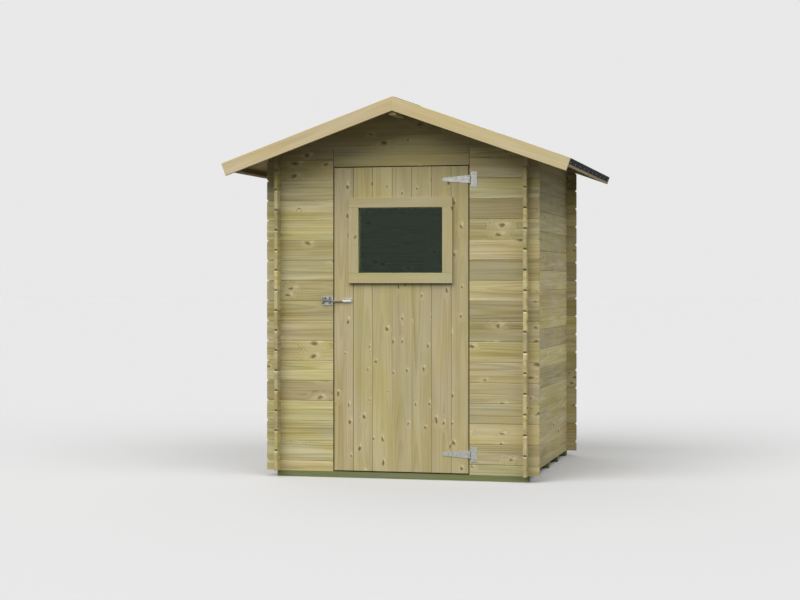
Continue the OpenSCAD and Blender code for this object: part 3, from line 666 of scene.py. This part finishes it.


# Door: seven upright tongue-and-groove boards with bevelled edges, planed and treated like
# the logs. Three ledges and a brace are screwed to them on the inside.

# Narrow boards from small trees have soft rings and many small knots, each with a pale fleck that is partly
# painted highlight.
door_pine = softwood("Pine, planed and pressure-treated, door boards", "#BDB186", "#918457", "#A69D71",
                     "#5E4A2A", knot_share=0.7, knot_mm=(4.5, 9.5), stretch_mm=(150, 95), gleam=0.4,
                     contrast=0.75, blotch=0.6, spread=0.08, groove=0.4)
door_edge = 0.002
lay_grain(nodes["door_boards"], 32448)
paint(nodes["door_boards"], door_pine)
ease_edges(nodes["door_boards"], door_edge, 1)
ledge_inset = 0.045
ledge_rows = (0.067, 0.028)
spots = []
for seed, name in enumerate(("door_ledge_top", "door_ledge_middle", "door_ledge_bottom"), 250):
    lay_grain(nodes[name], seed)
    paint(nodes[name], frame_pine)
    ease_edges(nodes[name], timber_edge)
    low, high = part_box(name)
    for i, x in enumerate(evenly(low.x + ledge_inset, high.x - ledge_inset, 7)):
        spots.append(((x, high.y, low.z + ledge_rows[i % 2]), (0, 1, 0)))
brace_run = Vector((-0.63, 0, 0.7766)).normalized()
brace_side = (brace_run.z, 0, -brace_run.x)
lay_grain(nodes["door_brace"], 255, (brace_run, brace_side, (0, 1, 0)))
paint(nodes["door_brace"], frame_pine)
ease_edges(nodes["door_brace"], timber_edge)
low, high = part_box("door_brace")
brace_half = 0.055
for share in evenly(0.1, 0.9, 5):
    x = high.x - brace_half + share * (low.x - high.x + 2 * brace_half)
    spots.append(((x, high.y, low.z + share * (high.z - low.z)), (0, 1, 0)))
drive_heads("ledge_screws", spots, radius=0.0038, rise=0.0007, body="door", cross=True)


# Window: planed casing battens nailed on the face of the door, a clear acrylic pane behind
# them and beads that hold the pane from the inside.

# Planed battens picked for looks are even and smooth, almost without knots.
casing_pine = softwood("Pine, planed and pressure-treated, casing", "#B6AA80", "#94875C", "#A49A71",
                       "#5E4828", knot_share=0.15, contrast=0.6, spread=0.03)
lay_grain(nodes["window_casing"], 270)
paint(nodes["window_casing"], casing_pine)
ease_edges(nodes["window_casing"], door_edge)
lay_grain(nodes["window_beads"], 271)
paint(nodes["window_beads"], frame_pine)
casing_middle = 0.0285
casing_ends = 0.02
casing_inner = 0.2
casing_upright = 0.09
low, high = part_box("window_casing")
spots = []
for z in (low.z + casing_middle, high.z - casing_middle):
    for x in (low.x + casing_ends, low.x + casing_inner, high.x - casing_inner, high.x - casing_ends):
        spots.append(((x, low.y, z), (0, -1, 0)))
for x in (low.x + casing_middle, high.x - casing_middle):
    for z in (low.z + casing_upright, (low.z + high.z) / 2, high.z - casing_upright):
        spots.append(((x, low.y, z), (0, -1, 0)))
drive_heads("casing_nails", spots, radius=0.0016, rise=0.0003, body="door")

# Extruded acrylic is clear with a faint green tint and a gloss smeared a little by wiping. The gloss is
# tinted green as a painted reflection.
acrylic, tree = blank("Acrylic sheet, clear, extruded")
place = add(tree, "ShaderNodeTexCoord")["Object"]
smear = add(tree, "ShaderNodeTexNoise", {"Vector": place, "Scale": 1000 / 120, "Detail": 3.0})["Fac"]
shine = add(tree, "ShaderNodeMapRange", {0: smear, 1: 0.4, 2: 0.8, 3: 0.01, 4: 0.06})[0]
surface = add(tree, "ShaderNodeBsdfPrincipled", {
    "Base Color": linear("#CADCCE"), "Roughness": shine, "IOR": 1.49, "Specular Tint": linear("#C4D9C7"),
    "Transmission Weight": 1.0})[0]
add(tree, "ShaderNodeOutputMaterial", {"Surface": surface})
paint(nodes["window_pane"], acrylic)


# Hinges and latch: pressed steel, zinc-plated. The tapered straps and the striker plate are
# screwed to the door, the hinge plates and the catch to the logs.

# The rod and the pawl are painted dark, as painted shade and a painted dark reflection on the steel, with a
# faint mottle. Where the rod lies on its plate it is drawn bright.
painted_dark_zinc, tree = blank("Steel, drawn, zinc-plated, painted dark as in shade")
place = add(tree, "ShaderNodeTexCoord")["Object"]
dark_mottle = add(tree, "ShaderNodeVectorMath", {0: place, 1: per_metre(30, 3)}, operation="MULTIPLY")[0]
dark_mottle = add(tree, "ShaderNodeTexNoise", {"Vector": dark_mottle, "Scale": 1.0, "Detail": 3.0})["Fac"]
colour = add(tree, "ShaderNodeMix", {0: dark_mottle, 6: linear("#5C5C52"), 7: linear("#8A8A80")},
             data_type="RGBA")[2]
plate_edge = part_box("striker_plate")[0].x
bright_fade = 0.004
bright = add(tree, "ShaderNodeSeparateXYZ", {0: place})["X"]
bright = add(tree, "ShaderNodeMapRange", {
    0: bright, 1: plate_edge - bright_fade, 2: plate_edge + bright_fade})[0]
colour = add(tree, "ShaderNodeMix", {0: bright, 6: colour, 7: linear("#C8C7BE")}, data_type="RGBA")[2]
shine = add(tree, "ShaderNodeMapRange", {0: dark_mottle, 3: 0.34, 4: 0.56})[0]
surface = add(tree, "ShaderNodeBsdfPrincipled", {
    "Base Color": colour, "Metallic": 1.0, "Roughness": shine})[0]
add(tree, "ShaderNodeOutputMaterial", {"Surface": surface})

steel_edge = 0.0004
steel_thick = 0.002
plated = ("upper_hinge_plate", "lower_hinge_plate", "upper_hinge_strap", "lower_hinge_strap", "latch_catch",
          "striker_plate")
# The rod and the pawl take the zinc that is painted dark as shade.
for name in plated + ("striker_rod", "latch_pawl"):
    paint(nodes[name], zinc if name in plated else painted_dark_zinc)
    ease_edges(nodes[name], steel_edge)
pin_inset = 0.005
strap_screws = (0.028, 0.082, 0.144)
plate_across = 0.027
plate_screws = (-0.032, 0, 0.032)
striker_screws = (0.012, 0.036)
striker_drop = 0.008
catch_left = 0.025
catch_inset = 0.009
door_spots, wall_spots = [], []
for name in ("upper_hinge", "lower_hinge"):
    low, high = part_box(name + "_strap")
    z = (low.z + high.z) / 2
    pin = high.x - pin_inset
    door_spots += [((pin - d, high.y - steel_thick, z), (0, -1, 0)) for d in strap_screws]
    low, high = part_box(name + "_plate")
    wall_spots += [((pin + plate_across, high.y - steel_thick, z + d), (0, -1, 0)) for d in plate_screws]
low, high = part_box("striker_plate")
door_spots += [((low.x + d, low.y, high.z - striker_drop), (0, -1, 0)) for d in striker_screws]
low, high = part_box("latch_catch")
for x in (low.x + catch_left, high.x - catch_inset):
    for z in (low.z + catch_inset, high.z - catch_inset):
        wall_spots.append(((x, high.y - steel_thick, z), (0, -1, 0)))
drive_heads("door_steel_screws", door_spots, radius=0.0036, rise=0.001, body="door", cross=True)
drive_heads("wall_steel_screws", wall_spots, radius=0.0036, rise=0.001, body="shed", cross=True)


# Studio: a wide pale floor, an even pale surround and three broad soft lights from above, the
# strongest from the left in front, a weaker one from the right and a faint one from behind.

def shown(tree):
    """1 for what is seen straight, mirrored or through the pane, 0 for what only lights the shed."""
    path = add(tree, "ShaderNodeLightPath")
    eye = add(tree, "ShaderNodeMath", {0: path["Is Camera Ray"], 1: path["Is Glossy Ray"]},
              operation="ADD")[0]
    return add(tree, "ShaderNodeMath", {0: eye, 1: path["Is Transmission Ray"]}, operation="ADD",
               use_clamp=True)[0]


paper_half = 90
mesh = bpy.data.meshes.new("studio_floor")
corners = [(paper_half * x, paper_half * y, 0) for x, y in ((-1, -1), (1, -1), (1, 1), (-1, 1))]
mesh.from_pydata(corners, [], [(0, 1, 2, 3)])
studio_floor = put_in_scene("studio_floor", mesh)
# Matt paper has no shine, so it shows only the shadow. It throws little light back on the shed.
paper, tree = blank("Studio paper, matt")
seen_paper = add(tree, "ShaderNodeBsdfDiffuse", {"Color": linear("#BDBDBD")})[0]
lighting_paper = add(tree, "ShaderNodeBsdfDiffuse", {"Color": linear("#505050")})[0]
surface = add(tree, "ShaderNodeMixShader", {0: shown(tree), 1: lighting_paper, 2: seen_paper})[0]
add(tree, "ShaderNodeOutputMaterial", {"Surface": surface})
paint(studio_floor, paper)
studio_floor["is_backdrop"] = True

backdrop = 0.812
room_light = 0.3
world = bpy.data.worlds.new("studio")
world.use_nodes = True
tree = world.node_tree
tree.nodes.clear()
seen_surround = add(tree, "ShaderNodeBackground", {"Color": linear("#FFFFFF"), "Strength": backdrop})[0]
lighting_surround = add(tree, "ShaderNodeBackground", {"Color": linear("#FFFFFF"), "Strength": room_light})[0]
surface = add(tree, "ShaderNodeMixShader", {0: shown(tree), 1: lighting_surround, 2: seen_surround})[0]
add(tree, "ShaderNodeOutputWorld", {"Surface": surface})
bpy.context.scene.world = world

for name, turn, rise, power, spread in (("key", -28, 46, 2.9, 55), ("fill", 55, 46, 1.8, 55),
                                         ("rear", 205, 50, 0.9, 60)):
    lamp = bpy.data.lights.new(name, "SUN")
    lamp.energy = power
    lamp.angle = math.radians(spread)
    put_in_scene(name, lamp).rotation_euler = (math.radians(90 - rise), 0, math.radians(turn))


# Camera: level, at chest height, a little to the right of the door, with the picture moved down
# so that upright edges stay upright.
pixels_wide = 800
pixels_down = 19.84
camera = put_in_scene("camera", bpy.data.cameras.new("camera"))
camera.data.lens = 78.12
camera.data.sensor_width = 36
camera.data.shift_y = -pixels_down / pixels_wide
camera.location = (2.264, -10.203, 1.119)
camera.rotation_euler = (math.radians(90), 0, math.radians(13.43))
bpy.context.scene.camera = camera
bpy.context.scene.view_settings.view_transform = "Standard"

low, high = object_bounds()
